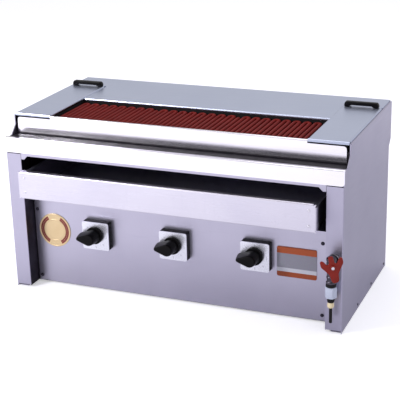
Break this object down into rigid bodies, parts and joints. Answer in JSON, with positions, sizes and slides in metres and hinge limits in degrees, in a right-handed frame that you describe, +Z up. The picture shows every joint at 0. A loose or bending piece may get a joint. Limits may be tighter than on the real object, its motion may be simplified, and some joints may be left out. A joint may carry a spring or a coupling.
{
  "type": "yakitori grill",
  "caption": "Counter-top electric grill for skewers: sunk red heater field, drip drawer, rotary heat switches, drain cock and lift-off covers in a folded steel body.",
  "frame": {"origin": "middle of the bounding box, on the table", "axes": "+X to the right along the front, +Y from the front to the back, +Z up"},
  "size_m": [0.6096, 0.3558, 0.3213],
  "materials": {
    "brushed_steel": "fine brushed stainless sheet",
    "polished_steel": "bright polished stainless sheet",
    "tinted_steel": "dark heat-tinted sheet, glossy",
    "dull_steel": "dull sheet, in shade",
    "heater_sheath": "dull red tube sheath",
    "black_plastic": "moulded, semi-gloss",
    "silver_plate": "satin plate",
    "gold_badge": "satin, bare",
    "orange_plate": "printed bands, no words",
    "chrome": "plated",
    "red_paint": "enamelled handle",
    "ivory_plastic": "moulded nylon",
    "grey_plastic": "moulded",
    "black_rubber": "moulded"
  },
  "bodies": {
    "body": {"left_side_panel": "brushed_steel", "right_side_panel": "brushed_steel", "left_post": "dull_steel", "right_post": "dull_steel", "left_box_angle": "dull_steel", "right_box_angle": "dull_steel", "left_runner": "dull_steel", "right_runner": "dull_steel", "rear_panel": "brushed_steel", "base_panel": "dull_steel", "rear_cover": "brushed_steel", "front_crossbar": "brushed_steel", "skewer_rail": "polished_steel", "front_ledge": "tinted_steel", "fascia_rail": "polished_steel", "fire_box": "dull_steel", "heater_left": "heater_sheath", "heater_middle": "heater_sheath", "heater_right": "heater_sheath", "front_comb": "dull_steel", "rear_comb": "dull_steel", "water_basin": "brushed_steel", "control_panel": "brushed_steel", "switch_housing_1": "black_plastic", "switch_housing_2": "black_plastic", "switch_housing_3": "black_plastic", "switch_plate_1": "silver_plate", "switch_plate_2": "silver_plate", "switch_plate_3": "silver_plate", "switch_body_1": "black_plastic", "switch_body_2": "black_plastic", "switch_body_3": "black_plastic", "badge_disc": "gold_badge", "rating_plate": "orange_plate", "valve_body": "chrome", "seal_ring": "black_rubber", "union_nut": "grey_plastic", "valve_gasket": "black_rubber", "outlet_collar": "ivory_plastic", "outlet_spout": "black_rubber", "drain_pipe": "chrome", "drain_bush": "chrome", "terminal_block": "grey_plastic", "cable_gland": "black_plastic", "gland_nut": "black_plastic"},
    "drawer": {"drawer_pan": "dull_steel", "drawer_front": "polished_steel"},
    "left_cover": {"left_lid": "brushed_steel", "left_grip": "black_plastic"},
    "right_cover": {"right_lid": "brushed_steel", "right_grip": "black_plastic"},
    "switch_1": {"knob_1": "black_plastic"},
    "switch_2": {"knob_2": "black_plastic"},
    "switch_3": {"knob_3": "black_plastic"},
    "cock": {"valve_handle": "red_paint", "valve_stem": "chrome", "handle_nut": "ivory_plastic"}
  },
  "joints": [
    {"name": "drawer_slide", "type": "slide", "parent": "body", "child": "drawer", "axis": [0, -1, 0], "range_m": [-0.028, 0.212]},
    {"name": "left_cover_lift", "type": "slide", "parent": "body", "child": "left_cover", "axis": [0, 0, 1], "range_m": [0, 0.06]},
    {"name": "right_cover_lift", "type": "slide", "parent": "body", "child": "right_cover", "axis": [0, 0, 1], "range_m": [0, 0.06]},
    {"name": "switch_1_turn", "type": "hinge", "parent": "body", "child": "switch_1", "pos_m": [-0.14882, -0.1202, 0.111], "axis": [0, 1, 0], "range_deg": [0, 270]},
    {"name": "switch_2_turn", "type": "hinge", "parent": "body", "child": "switch_2", "pos_m": [-0.00282, -0.1202, 0.111], "axis": [0, 1, 0], "range_deg": [0, 270]},
    {"name": "switch_3_turn", "type": "hinge", "parent": "body", "child": "switch_3", "pos_m": [0.14318, -0.1202, 0.111], "axis": [0, 1, 0], "range_deg": [0, 270]},
    {"name": "cock_turn", "type": "hinge", "parent": "body", "child": "cock", "pos_m": [0.28831, -0.16788, 0.13], "axis": [-0.3827, 0.9239, 0], "range_deg": [0, 90]}
  ]
}
